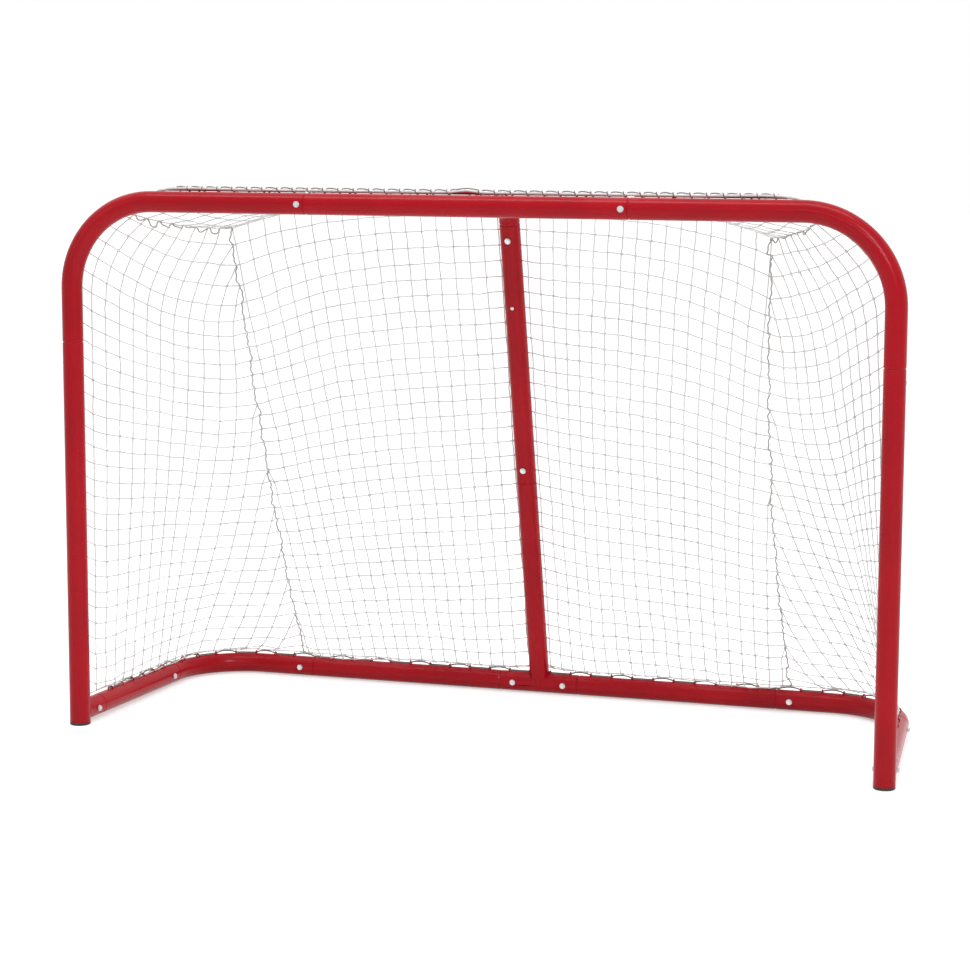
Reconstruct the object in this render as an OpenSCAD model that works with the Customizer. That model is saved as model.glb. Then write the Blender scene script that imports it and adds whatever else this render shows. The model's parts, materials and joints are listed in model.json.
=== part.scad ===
// Full-size hockey goal: knock-down steel tube frame with slip joints, screws and a laced twine net.
// Millimetres, +Z up, +Y towards the back of the goal, origin on the floor under the middle of its box.

/* [Goal mouth] */
// Clear width between the posts
mouth_w = 1830; // [1400:10:2200]
// Clear height under the crossbar
mouth_h = 1196; // [1000:4:1300]
// Depth from the mouth plane to the axis of the back bar
goal_depth = 640; // [560:5:760]

/* [Tube] */
// Outside diameter of every frame tube
tube_d = 48; // [40:1:54]
// Wall of the tube
tube_wall = 1.5; // [1.2:0.1:2.5]
// Bend radius on the tube axis at the top corners
bend_r = 200; // [150:5:230]
// Bend radius on the tube axis at the base corners
base_bend_r = 180; // [150:5:190]
// How far a reduced tube end reaches into the next tube
spigot_len = 62; // [50:1:80]
// Radial clearance of a reduced end in the next tube
spigot_gap = 0.15; // [0.05:0.01:0.3]
// Length of the cone that leads down to a reduced end
shoulder_len = 4; // [2:0.5:8]
// Chamfer round the open end of a receiving tube
mouth_chamfer = 0.8; // [0.3:0.1:1]

/* [Joints along the frame] */
// Distance from the middle of the goal to each crossbar joint
crossbar_joint_x = 367; // [250:1:480]
// Height of the joint in each post
post_joint_z = 896; // [700:1:940]
// Distance from the mouth plane to the first joint of each base side
stub_len = 80; // [70:1:120]
// Straight tube left between the joint at each base corner and its bend
base_leg = 5; // [5:1:60]
// Distance from the middle of the goal to the joint in the back bar
back_joint_x = 592; // [500:1:640]
// Half the length of the tee in the back bar
tee_half = 98; // [90:1:160]
// Height of the lower joint of the centre post
centre_joint_low_z = 548; // [350:1:700]
// Height of the upper joint of the centre post
centre_joint_high_z = 1167; // [1120:1:1168]

/* [Base and centre support] */
// Height of the base tube axis where it leaves the post
stub_z = 30; // [28:1:45]
// Inward taper of each base side, in degrees
side_taper = 4; // [2:0.25:7]
// Distance from the mouth plane to the corner of the centre support
brace_corner_y = 343; // [300:1:420]
// Height of the corner of the centre support
brace_corner_z = 1206; // [1190:1:1212]
// Bend radius of the short elbow in the centre support
elbow_r = 44; // [40:1:46]
// Length of the socket on the back of the crossbar
brace_socket_len = 84; // [70:1:120]

/* [Screws] */
// Shank diameter of the frame screws
screw_d = 6; // [5:0.5:8]
// Width across flats of a hexagonal screw head and nut
hex_af = 10; // [8:0.5:13]
// Height of a screw head
head_h = 4; // [3:0.5:6]
// Flange diameter under a screw head
flange_d = 14; // [12:0.5:18]
// Distance of a crossbar screw from its joint
crossbar_screw_off = 12.5; // [10:0.5:30]
// Distance of the other screws from their joints
screw_off = 34; // [24:1:44]
// Distance of a post screw below its joint
post_screw_off = 30; // [10:0.5:44]

/* [Lacing and feet] */
// Diameter of the lacing rod behind the crossbar
rod_d = 6; // [4:0.5:8]
// Free gap between the lacing rod and the tube
rod_gap = 6.5; // [6:0.5:9]
// Length of the lacing rod on each side of the goal's middle
rod_half = 712; // [600:2:730]
// Wire diameter of a lace eye
eye_wire_d = 3.2; // [2.5:0.1:4]
// Mean radius of a lace eye
eye_r = 6.5; // [6:0.5:8]
// Spacing of the lace eyes along the base
eye_pitch = 52; // [45:1:70]
// Thickness of the foot cap's flange
cap_h = 6; // [4:0.5:10]
// Depth of the foot cap's plug inside the post
cap_plug = 22; // [15:1:30]

/* [Net] */
// Width of a net bar in the panels
net_bar = 6; // [3:0.5:8]
// Thickness of the panels
net_t = 3; // [2:0.5:5]
// Distance from the middle of the goal to the net's upper rear corners
corner_x = 634; // [560:2:680]
// Depth of the net's upper rear corners behind the mouth plane
corner_y = 226; // [180:2:280]
// Height of the net's upper rear corners
corner_z = 1156; // [1100:2:1176]
// Inward sag of the back panels at half height
back_sag = 58; // [20:1:90]
// Diameter of the border and seam cords
cord_d = 6; // [4:0.5:7]
// Diameter of the lacing cords
lace_d = 3.6; // [2.5:0.1:4]

/* [Hidden] */

$fn = 64;
clear = 0.3;                              // standing gap between pieces that touch
bend_thin = 0.15;                         // a bend is thinner than its legs by this on each face
bend_lap = 1;                             // a straight leg laps this far into its bend
tube_r = tube_d / 2;
bore_r = tube_r - tube_wall;
spigot_r = bore_r - spigot_gap;
hole_r = screw_d / 2 + 0.2;
post_x = mouth_w / 2 + tube_r;            // post axis
bar_z = mouth_h + tube_r;                 // crossbar axis
arc_x = post_x - bend_r;                  // end of the straight crossbar
arc_z = bar_z - bend_r;                   // end of the straight post
flange_lift = 1.2;                        // a flange stands on the round tube by this much
seat = tube_r + flange_lift;              // a flange's seat from the tube axis
mouth_y = -goal_depth / 2;                // heads and nuts reach equally far at the front and back

// The base lies in one plane that falls from the stubs to the floor-standing back bar.
base_fall = atan((stub_z - tube_r) / goal_depth);
base_depth = goal_depth / cos(base_fall);
base_turn = 90 - side_taper;
base_arc_y = base_depth - base_bend_r;    // centre of the base bend
bend_s = (base_arc_y + base_bend_r * sin(side_taper)) / cos(side_taper);
base_arc_x = post_x - bend_s * sin(side_taper) - base_bend_r * cos(side_taper);
side_joint_s = (goal_depth - base_bend_r - base_leg) / cos(side_taper);
bend_len = base_bend_r * base_turn * PI / 180;
base_len = base_arc_x + bend_len + bend_s; // from the middle of the back bar to the mouth plane

// A point of the right half of the base, c along its axis from the middle: [x, y, heading].
function base_at(c) = c < base_arc_x ? [c, base_depth, 0] :
  c < base_arc_x + bend_len ? let(a = 90 - (c - base_arc_x) / base_bend_r * 180 / PI)
      [base_arc_x + base_bend_r * cos(a), base_arc_y + base_bend_r * sin(a), a - 90] :
  let(r = base_len - c) [post_x - r * sin(side_taper), r * cos(side_taper), side_taper - 90];

// The centre support climbs from the tee to a corner and runs forward to the crossbar.
post_lean = atan((goal_depth - brace_corner_y) / (brace_corner_z - tube_r));
post_run = (brace_corner_z - tube_r) / cos(post_lean);
brace_rise = atan((bar_z - brace_corner_z) / brace_corner_y);
brace_run = brace_corner_y / cos(brace_rise);
elbow_turn = 90 - post_lean - brace_rise;
elbow_lead = elbow_r * tan(elbow_turn / 2);
low_joint_s = (centre_joint_low_z - tube_r) / cos(post_lean);
high_joint_s = (centre_joint_high_z - tube_r) / cos(post_lean);

red = "#b3121f";
steel = "silver";

// ---------- tube pieces, drawn along +Z ----------
module plain_tube(l) cylinder(r = tube_r, h = l);

// Outside of a reduced end: cone at the joint, then the spigot.
module spigot_skin() {
  translate([0, 0, -shoulder_len - clear])
    cylinder(r1 = tube_r, r2 = spigot_r, h = shoulder_len);
  translate([0, 0, -shoulder_len - 4]) cylinder(r = spigot_r, h = spigot_len + shoulder_len + 4);
}

// Inside of a reduced end, from the full bore down to the spigot's own bore.
module spigot_bore() {
  translate([0, 0, -shoulder_len - clear - 0.5])
    cylinder(r1 = bore_r, r2 = spigot_r - tube_wall, h = shoulder_len + 0.5);
  translate([0, 0, -clear - 0.01]) cylinder(r = spigot_r - tube_wall, h = spigot_len + 1);
}

// A straight tube from one joint to the next; male ends carry a spigot.
module straight_tube(l, male_low = false, male_high = false) {
  low = male_low ? shoulder_len + clear : 0;
  high = male_high ? l - shoulder_len - clear : l;
  difference() {
    union() {
      translate([0, 0, low]) cylinder(r = tube_r, h = high - low);
      if (male_low) mirror([0, 0, 1]) spigot_skin();
      if (male_high) translate([0, 0, l]) spigot_skin();
    }
    translate([0, 0, male_low ? low : -1])
      cylinder(r = bore_r, h = high - low + (male_low ? 0 : 1) + (male_high ? 0 : 1));
    if (male_low) mirror([0, 0, 1]) spigot_bore();
    if (male_high) translate([0, 0, l]) spigot_bore();
    if (!male_low) mouth_bevel();
    if (!male_high) translate([0, 0, l]) mirror([0, 0, 1]) mouth_bevel();
  }
}

// Ring that bevels the outer edge of a tube end at z = 0.
module mouth_bevel() difference() {
  translate([0, 0, -1]) cylinder(r = tube_r + 1, h = 1 + mouth_chamfer);
  translate([0, 0, -1.01]) cylinder(r = tube_r - mouth_chamfer, h = 1.01);
  cylinder(r1 = tube_r - mouth_chamfer, r2 = tube_r, h = mouth_chamfer + 0.001);
}

// A hole for a screw across a tube, along Y, at height z of the tube.
module screw_hole(z) translate([0, 0, z]) rotate([90, 0, 0])
  cylinder(r = hole_r, h = tube_d + 4, center = true);

// ---------- fittings ----------
// A wire eye welded on the tube: half ring across X on two short legs.
module lace_eye() {
  translate([0, 0, tube_r - 0.4]) rotate([90, 0, 90])
    rotate_extrude(angle = 180) translate([eye_r, 0]) circle(r = eye_wire_d / 2, $fn = 16);
  for (y = [-eye_r, eye_r]) translate([0, y, tube_r - 1.9]) cylinder(r = eye_wire_d / 2, h = 1.5, $fn = 16);
}

// Eyes on the stretch of the base from lo to hi, both measured from the middle of the back bar.
eye_count = floor((base_len - stub_len - 10) / eye_pitch);
eye_margin = 9;
module eyes(lo, hi) for (k = [0:eye_count - 1]) {
  c = (k + 0.5) * eye_pitch;
  p = base_at(c);
  if (c > lo + eye_margin && c < hi - eye_margin)
    translate([p[0], p[1], 0]) rotate([0, 0, p[2]]) lace_eye();
}

// Hexagonal screw with a flange, along +Z; z = 0 is the seat, the shank goes down by `l`.
module hex_screw(l) {
  cylinder(r = flange_d / 2, h = 1.2);
  translate([0, 0, 1.2]) cylinder(r = hex_af / 2 / cos(30), h = head_h - 1.2, $fn = 6);
  translate([0, 0, -l]) cylinder(r = screw_d / 2, h = l);
}

// Flanged dome nut that seats at z = 0 and closes over the end of the shank.
module dome_nut() difference() {
  union() {
    cylinder(r = flange_d / 2, h = 1.2);
    translate([0, 0, 1.2]) cylinder(r = hex_af / 2 / cos(30), h = head_h - 2.2, $fn = 6);
    translate([0, 0, head_h - 1]) cylinder(r1 = hex_af / 2, r2 = hex_af / 3, h = 1);
  }
  translate([0, 0, -1]) cylinder(r = screw_d / 2 + 0.05, h = head_h - 0.2);
}

shank = 2 * seat + head_h - 1.6;          // from the head's seat to inside the nut

// Screw and nut across a tube, along Y: the head on the -Y side.
module cross_screw() translate([0, -seat, 0]) rotate([90, 0, 0]) hex_screw(shank);
module cross_nut() translate([0, seat, 0]) rotate([-90, 0, 0]) dome_nut();

// ---------- places ----------
module at_mouth() translate([0, mouth_y, 0]) children();
// Base plane: origin at the mouth plane on the stub's height, y back along the base.
module at_base() at_mouth() translate([0, 0, stub_z]) rotate([-base_fall, 0, 0]) children();
// Start of a base side, its axis along +Y; right is 1 on the right-hand side, -1 on the left.
module at_side(right) at_base() translate([right * post_x, 0, 0])
  rotate([0, 0, right * side_taper]) children();
// Centre post axis as +Z, starting on the back bar's axis.
module at_centre_post() at_mouth() translate([0, goal_depth, tube_r])
  rotate([post_lean, 0, 0]) children();
// Brace axis as +Z, starting on the crossbar's axis and running back.
module at_brace() at_mouth() translate([0, 0, bar_z]) rotate([-90 - brace_rise, 0, 0]) children();
module along_y() rotate([-90, 0, 0]) children();
module along_x() rotate([0, 90, 0]) children();

// ---------- front frame ----------
// Lacing rod on short lugs behind the top of the crossbar, from x0 to x1.
rod_off = tube_r + rod_gap + rod_d / 2;
rod_tilt = 55;                            // angle of the rod above the horizontal
module lace_rod(x0, x1) rotate([rod_tilt, 0, 0]) translate([0, rod_off, 0]) {
  translate([x0, 0, 0]) along_x() cylinder(r = rod_d / 2, h = x1 - x0);
  lugs = max(2, ceil((x1 - x0) / 190));
  for (i = [0:lugs - 1]) translate([x0 + (i + 0.5) * (x1 - x0) / lugs, 0, 0])
    rotate([90, 0, 0]) cylinder(r = 2.4, h = rod_gap + rod_d / 2 + 0.6, $fn = 24);
}

module crossbar_middle() color(red) at_mouth() translate([0, 0, bar_z]) difference() {
  union() {
    translate([shoulder_len + clear - crossbar_joint_x, 0, 0]) along_x()
      cylinder(r = tube_r, h = 2 * crossbar_joint_x - shoulder_len - clear);
    translate([-crossbar_joint_x, 0, 0]) along_x() mirror([0, 0, 1]) spigot_skin();
    lace_rod(8 - crossbar_joint_x, crossbar_joint_x - 8);
    rotate([-90 - brace_rise, 0, 0]) difference() {
      cylinder(r = tube_r, h = brace_socket_len);
      cylinder(r = bore_r, h = brace_socket_len + 1);
      translate([0, 0, brace_socket_len]) mirror([0, 0, 1]) mouth_bevel();
      translate([0, 0, brace_socket_len - screw_off]) along_x()
        cylinder(r = hole_r, h = tube_d + 4, center = true);
    }
  }
  translate([shoulder_len + clear - crossbar_joint_x, 0, 0]) along_x()
    cylinder(r = bore_r, h = 2 * crossbar_joint_x);
  translate([-crossbar_joint_x, 0, 0]) along_x() mirror([0, 0, 1]) spigot_bore();
  translate([crossbar_joint_x, 0, 0]) along_x() mirror([0, 0, 1]) mouth_bevel();
  for (x = [-crossbar_joint_x - crossbar_screw_off, crossbar_joint_x - crossbar_screw_off])
    translate([x, 0, 0]) rotate([90, 0, 0]) cylinder(r = hole_r, h = tube_d + 4, center = true);
}

// A top corner, drawn for the right-hand side from the crossbar joint to the post joint.
module corner(male_bar, screw_x) {
  low = post_joint_z + shoulder_len + clear;
  start = crossbar_joint_x + (male_bar ? shoulder_len + clear : 0);
  difference() {
    union() {
      translate([start, 0, bar_z]) along_x() cylinder(r = tube_r, h = arc_x - start);
      if (male_bar) translate([crossbar_joint_x, 0, bar_z]) along_x() mirror([0, 0, 1]) spigot_skin();
      translate([arc_x, 0, arc_z]) rotate([90, 0, 0])
        rotate_extrude(angle = 90) translate([bend_r, 0]) circle(r = tube_r);
      translate([post_x, 0, low]) cylinder(r = tube_r, h = arc_z - low);
      translate([post_x, 0, post_joint_z]) mirror([0, 0, 1]) spigot_skin();
      translate([0, 0, bar_z]) lace_rod(crossbar_joint_x + 8, rod_half);
    }
    translate([male_bar ? start : start - 1, 0, bar_z]) along_x()
      cylinder(r = bore_r, h = arc_x - start + (male_bar ? 0 : 1));
    if (male_bar) translate([crossbar_joint_x, 0, bar_z]) along_x() mirror([0, 0, 1]) spigot_bore();
    if (!male_bar) translate([crossbar_joint_x, 0, bar_z]) along_x() mouth_bevel();
    translate([arc_x, 0, arc_z]) rotate([90, 0, 0])
      rotate_extrude(angle = 90) translate([bend_r, 0]) circle(r = bore_r);
    translate([post_x, 0, low]) cylinder(r = bore_r, h = arc_z - low);
    translate([post_x, 0, post_joint_z]) mirror([0, 0, 1]) spigot_bore();
    translate([screw_x, 0, bar_z]) rotate([90, 0, 0])
      cylinder(r = hole_r, h = tube_d + 4, center = true);
    post_screw_hole();
  }
}
// The post screw sits on the outer rear of the right-hand post.
module at_post_screw() translate([post_x, 0, post_joint_z - post_screw_off]) rotate([0, 0, -45]) children();
module post_screw_hole() at_post_screw() along_y() cylinder(r = hole_r, h = tube_r + 4);
module corner_left() color(red) at_mouth() mirror([1, 0, 0])
  corner(false, crossbar_joint_x + crossbar_screw_off);
module corner_right() color(red) at_mouth() corner(true, crossbar_joint_x - crossbar_screw_off);

// Wire hooks on the back of a post hold the net's border cord, which runs up the post's back.
hook_d = 4;                               // wire of a hook
hook_heights = [150, 330, 510, 690, 850]; // one every five meshes or so
border_y = tube_r + cord_d / 2 + clear;   // axis of the border cord behind a post
module border_hook() {
  side = cord_d / 2 + clear + hook_d / 2;
  back = border_y + cord_d / 2 + clear + hook_d / 2;
  translate([side, tube_r * 0.9, 0]) along_y() cylinder(r = hook_d / 2, h = back - tube_r * 0.9);
  translate([side, back, 0]) sphere(r = hook_d / 2);
  translate([-side, back, 0]) along_x() cylinder(r = hook_d / 2, h = 2 * side);
}

// Right-hand post with the welded base stub; the left one is its mirror image.
module post() difference() {
  union() {
    translate([0, 0, cap_h]) cylinder(r = tube_r, h = post_joint_z - cap_h);
    translate([0, 0, stub_z]) rotate([-base_fall, 0, 0]) rotate([0, 0, side_taper]) difference() {
      along_y() cylinder(r = tube_r, h = stub_len / cos(side_taper));
      along_y() cylinder(r = bore_r, h = stub_len * 1.1);
      translate([0, stub_len / cos(side_taper), 0]) along_y() mirror([0, 0, 1]) mouth_bevel();
      translate([0, stub_len - screw_off, 0]) along_x() cylinder(r = hole_r, h = tube_d + 4, center = true);
    }
    for (z = hook_heights) translate([0, 0, z]) border_hook();
  }
  translate([0, 0, cap_h - 1]) cylinder(r = bore_r, h = post_joint_z);
  translate([0, 0, post_joint_z]) mirror([0, 0, 1]) mouth_bevel();
  translate([-post_x, 0, 0]) post_screw_hole();
}
module post_right() color(red) at_mouth() translate([post_x, 0, 0]) post();
module post_left() color(red) at_mouth() mirror([1, 0, 0]) translate([post_x, 0, 0]) post();

// Moulded cap: a flange as wide as the tube, a hollow plug and three gripping ribs.
module foot_cap() difference() {
  union() {
    cylinder(r1 = tube_r - 1.2, r2 = tube_r, h = 1.2);
    translate([0, 0, 1.2]) cylinder(r = tube_r, h = cap_h - 1.2 - clear);
    cylinder(r = bore_r - 1, h = cap_h + cap_plug);
    for (i = [1:3]) translate([0, 0, cap_h + i * cap_plug / 4])
      cylinder(r1 = bore_r - 0.2, r2 = bore_r - 1, h = 2);
  }
  translate([0, 0, cap_h - 1]) cylinder(r = bore_r - 3.5, h = cap_plug + 2);
}
module foot_cap_left() color("#1b1b1c") at_mouth() translate([-post_x, 0, 0]) foot_cap();
module foot_cap_right() color("#1b1b1c") at_mouth() translate([post_x, 0, 0]) foot_cap();

// ---------- base ----------
stub_s = stub_len / cos(side_taper);
side_len = side_joint_s - stub_s;
module base_side(right) at_side(right) translate([0, stub_s, 0]) difference() {
  along_y() straight_tube(side_len, male_low = true);
  for (y = [-screw_off, side_len - screw_off]) translate([0, y, 0]) along_x()
    cylinder(r = hole_r, h = tube_d + 4, center = true);
}
module side_eyes() eyes(base_len - side_joint_s, base_len - stub_s);
module base_side_left() color(red) union() {
  base_side(-1);
  at_base() mirror([1, 0, 0]) side_eyes();
}
module base_side_right() color(red) union() {
  base_side(1);
  at_base() side_eyes();
}

// Right-hand base corner: a spigot into the side, a bend and a socket for the back bar.
bend_lead = bend_s - side_joint_s;        // from the side's joint to the bend
back_leg = base_arc_x - back_joint_x;     // from the bend to the back bar's joint
// Along the leg towards the side tube, and along the leg towards the back bar, from the bend.
module side_leg() translate([base_bend_r, 0, 0]) rotate([90, 0, 0]) children();
module bar_leg() rotate([0, 0, base_turn]) translate([base_bend_r, 0, 0]) rotate([-90, 0, 0]) children();
module base_bend(r, thin) {
  rotate_extrude(angle = base_turn) translate([base_bend_r, 0]) circle(r = r - thin);
  side_leg() translate([0, 0, -bend_lap]) cylinder(r = r, h = bend_lead - shoulder_len - clear + bend_lap);
  bar_leg() translate([0, 0, -bend_lap]) cylinder(r = r, h = back_leg + bend_lap);
}
module at_bend() translate([base_arc_x, base_arc_y, 0]) rotate([0, 0, side_taper]) children();
module base_corner() union() {
  at_bend() difference() {
    union() {
      base_bend(tube_r, bend_thin);
      side_leg() translate([0, 0, bend_lead]) spigot_skin();
    }
    base_bend(bore_r, -bend_thin);
    side_leg() translate([0, 0, bend_lead]) spigot_bore();
    side_leg() translate([0, 0, bend_lead + screw_off]) rotate([0, 90, 0])
      cylinder(r = hole_r, h = tube_d + 4, center = true);
    bar_leg() translate([0, 0, back_leg]) mirror([0, 0, 1]) mouth_bevel();
    bar_leg() translate([0, 0, back_leg - screw_off]) rotate([0, 90, 0])
      cylinder(r = hole_r, h = tube_d + 4, center = true);
  }
  eyes(back_joint_x, base_len - side_joint_s);
}
module base_corner_right() color(red) at_base() base_corner();
module base_corner_left() color(red) at_base() mirror([1, 0, 0]) base_corner();

bar_len = back_joint_x - tee_half;
module back_bar() union() {
  translate([tee_half, base_depth, 0]) difference() {
    along_x() straight_tube(bar_len, male_low = true, male_high = true);
    for (x = [-screw_off, bar_len + screw_off]) translate([x, 0, 0]) rotate([90, 0, 0])
      cylinder(r = hole_r, h = tube_d + 4, center = true);
  }
  eyes(tee_half, back_joint_x);
}
module back_bar_right() color(red) at_base() back_bar();
module back_bar_left() color(red) at_base() mirror([1, 0, 0]) back_bar();

// Tee: a sleeve in the back bar with the lower half of the centre post welded on.
module base_tee() color(red) difference() {
  union() {
    at_base() translate([-tee_half, base_depth, 0]) along_x() cylinder(r = tube_r, h = 2 * tee_half);
    at_centre_post() difference() {
      union() {
        cylinder(r = tube_r, h = low_joint_s - shoulder_len - clear);
        translate([0, 0, low_joint_s]) spigot_skin();
      }
      cylinder(r = bore_r, h = low_joint_s - shoulder_len - clear);
      translate([0, 0, low_joint_s]) spigot_bore();
      screw_hole(low_joint_s + screw_off);
    }
    at_base() for (m = [0, 1]) mirror([m, 0, 0]) eyes(0, tee_half);
  }
  at_base() translate([-tee_half - 1, base_depth, 0]) along_x() cylinder(r = bore_r, h = 2 * tee_half + 2);
  at_base() for (s = [-1, 1]) translate([s * tee_half, base_depth, 0]) {
    rotate([0, 0, s > 0 ? 180 : 0]) along_x() mouth_bevel();
    translate([-s * screw_off, 0, 0]) rotate([90, 0, 0])
      cylinder(r = hole_r, h = tube_d + 4, center = true);
  }
}

// ---------- centre support ----------
// A small screw on the front of the centre post, for the net's middle tie.
clip_drop = 220;                           // its distance below the crossbar
clip_s = (mouth_h - clip_drop - tube_r) / cos(post_lean);
clip_d = 4;
module centre_post() color(red) at_centre_post() difference() {
  translate([0, 0, low_joint_s]) straight_tube(high_joint_s - low_joint_s);
  screw_hole(low_joint_s + screw_off);
  screw_hole(high_joint_s - screw_off);
  translate([0, 0, clip_s]) rotate([90, 0, 0]) cylinder(r = clip_d / 2 + 0.1, h = tube_r + 4);
}

// Brace: a spigot into the crossbar's socket, a run back, a short elbow and a spigot down.
brace_straight = brace_run - elbow_lead;
drop_len = post_run - elbow_lead - high_joint_s;
// Elbow plane: origin in the middle of the bend, first axis back, second axis up.
module in_elbow() at_mouth() translate([0, 0, bar_z]) rotate([-brace_rise, 0, 0])
  translate([0, brace_straight, -elbow_r]) rotate([90, 0, 90]) children();
// Along the run from the elbow to the crossbar, and along the drop from the elbow down.
module elbow_run() translate([0, elbow_r, 0]) rotate([0, -90, 0]) children();
module elbow_drop() rotate([0, 0, -elbow_turn]) translate([0, elbow_r, 0]) rotate([0, 90, 0]) children();
module brace_tube(r, thin) {
  elbow_run() translate([0, 0, -bend_lap])
    cylinder(r = r, h = brace_straight - brace_socket_len - shoulder_len - clear + bend_lap);
  rotate([0, 0, 90 - elbow_turn]) rotate_extrude(angle = elbow_turn)
    translate([elbow_r, 0]) circle(r = r - thin);
  elbow_drop() translate([0, 0, -bend_lap])
    cylinder(r = r, h = drop_len - shoulder_len - clear + bend_lap);
}
module brace_ends() {
  elbow_run() translate([0, 0, brace_straight - brace_socket_len]) children();
  elbow_drop() translate([0, 0, drop_len]) children();
}
module centre_brace() color(red) in_elbow() difference() {
  union() {
    brace_tube(tube_r, bend_thin);
    brace_ends() spigot_skin();
  }
  brace_tube(bore_r, -bend_thin);
  brace_ends() spigot_bore();
  elbow_run() translate([0, 0, brace_straight - brace_socket_len + screw_off]) rotate([0, 90, 0])
    cylinder(r = hole_r, h = tube_d + 4, center = true);
  elbow_drop() translate([0, 0, drop_len + screw_off]) rotate([90, 0, 0])
    cylinder(r = hole_r, h = tube_d + 4, center = true);
}

// ---------- screws ----------
module crossbar_places() for (s = [-1, 1])
  at_mouth() translate([s * crossbar_joint_x - crossbar_screw_off, 0, bar_z]) children();
module crossbar_screws() color(steel) crossbar_places() cross_screw();
module crossbar_nuts() color(steel) crossbar_places() cross_nut();

// Short self-tapping screws at the outer rear of the post joints.
module post_screws() color(steel) at_mouth() for (m = [0, 1]) mirror([m, 0, 0]) at_post_screw()
  along_y() translate([0, 0, seat]) hex_screw(2 * tube_wall + 9);

// Centre support: two screws in the post from the front, one across the crossbar's socket.
module centre_places() {
  at_centre_post() for (z = [low_joint_s + screw_off, high_joint_s - screw_off])
    translate([0, 0, z]) children();
  at_brace() translate([0, 0, brace_socket_len - screw_off]) rotate([0, 0, 90]) children();
}
module centre_screws() color(steel) {
  centre_places() cross_screw();
  at_centre_post() translate([0, -tube_r - 0.5, clip_s]) rotate([90, 0, 0]) {
    cylinder(r = clip_d, h = 1.5);
    translate([0, 0, 1.5]) cylinder(r1 = clip_d, r2 = clip_d * 0.6, h = 1);
    translate([0, 0, -9]) cylinder(r = clip_d / 2, h = 9);
  }
}
module centre_nuts() color(steel) centre_places() cross_nut();

module base_places() {
  at_base() for (x = [back_joint_x + screw_off, tee_half - screw_off]) for (s = [-1, 1])
    translate([s * x, base_depth, 0]) children();
  for (s = [-1, 1]) at_side(s) for (y = [stub_s - screw_off, side_joint_s - screw_off])
    translate([0, y, 0]) rotate([0, 0, -s * 90]) children();
}
module base_screws() color(steel) base_places() cross_screw();
module base_nuts() color(steel) base_places() cross_nut();

// ---------- net ----------
// Points of the net, in the mouth frame, [x, y, z]; side is -1 or 1.
function mix(a, b, t) = a + (b - a) * t;
net_off = tube_r + net_t / 2 + clear;      // a panel's middle from the axis of the tube that it lies on
rod_y = rod_off * cos(rod_tilt);
rod_z = bar_z + rod_off * sin(rod_tilt);
lace_half = 10.5;                          // half the length of a lace turn across rod and cord
lace_rise = 7.3;                           // half its height away from the crossbar
lace_off = (rod_d + cord_d) / 4 + 0.15;    // middle of rod and cord from the rod's axis
lace_top = tube_r + 9;                     // top of the base lace's arches above the tube's axis
ridge_turn = (90 - brace_rise + post_lean) / 2;
nut_reach = seat + head_h - tube_r;        // a nut stands out this far from its tube
ridge_y = brace_corner_y + net_off * cos(ridge_turn) / cos(elbow_turn / 2) + nut_reach / cos(post_lean);
ridge_z = brace_corner_z + net_off * sin(ridge_turn) / cos(elbow_turn / 2) - 0.38;
function upper(s) = [s * corner_x, corner_y, corner_z];
// Upper rear edge from the centre support (t = 0) to the upper corner (t = 1).
function rear_edge(s, t) = mix([0, ridge_y, ridge_z], upper(s), t) - [0, 0, 22 * 4 * t * (1 - t)];
// Foot of the panels: over the base, on the lace's arches; behind the centre post it steps back.
function foot(s, c) = let(p = base_at(c), y = p[1] * cos(base_fall), back = max(0, 1 - c / 90))
  [s * p[0], y + (19 + nut_reach / cos(post_lean)) * back,
   stub_z - y * tan(base_fall) + lace_top + clear + net_bar / 2];
seam_c = 12 * eye_pitch;                            // the seams come down this far from the middle
function back_point(s, t, v) = let(k = back_sag * sin(90 * min(1, 1.6 * t)))
  mix(rear_edge(s, t), foot(s, seam_c * t), v) - [0, 0.9, 0.35] * k * 4 * v * (1 - v);
// Top panel, from the lacing rod (v = 0) to the rear edge.
front_y = border_y + cord_d / 2 + hook_d + 2 * clear;
bar_front = rod_y + lace_off + lace_half + lace_d / 2 + clear;
corner_reach = bend_r * PI / 4;           // the top panel goes on round the corner by this much
edge_len = arc_x + corner_reach;
function bar_edge(s, t) = let(
    p = t * edge_len,
    f = min(1, max(0, (p - rod_half) / 80)),
    a = 90 - max(0, p - arc_x) / bend_r * 180 / PI)
  [s * (min(p, arc_x) + bend_r * cos(a)),
   mix(bar_front, front_y, f),
   mix(rod_z + 1.5, arc_z + bend_r * sin(a), f)];
function top_point(s, t, v) = mix(bar_edge(s, t), rear_edge(s, t), v)
  - [0, 0, 26 * 4 * v * (1 - v) * min(1, 3 * t)];
// Side panel between the post (t = 0) and the seam, from its top edge (v = 0) to the base.
function side_c(t) = mix(base_len - front_y, seam_c, t);
front_len = corner_reach + arc_z;
function side_front(s, v) = let(
    low = foot(s, side_c(0)),
    p = v * (front_len - low[2]),
    a = 45 - p / bend_r * 180 / PI)
  a > 0 ? [s * (arc_x + bend_r * cos(a)), front_y, arc_z + bend_r * sin(a)] :
  mix([s * post_x, front_y, arc_z], low, (p - corner_reach) / (arc_z - low[2]));
function side_top(s, t) = mix(side_front(s, 0), upper(s), t) - [0, 0, 16 * 4 * t * (1 - t)];
function side_point(s, t, v) = let(
    a = side_top(s, t),
    b = foot(s, side_c(t)),
    c = side_front(s, v),
    d = back_point(s, 1, v),
    high = mix(side_top(s, 0), side_top(s, 1), t),
    low = mix(foot(s, side_c(0)), foot(s, side_c(1)), t))
  mix(a, b, v) + mix(c, d, t) - mix(high, low, v) - [s * 26 * sin(180 * t) * sin(180 * v), 0, 0];

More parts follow.
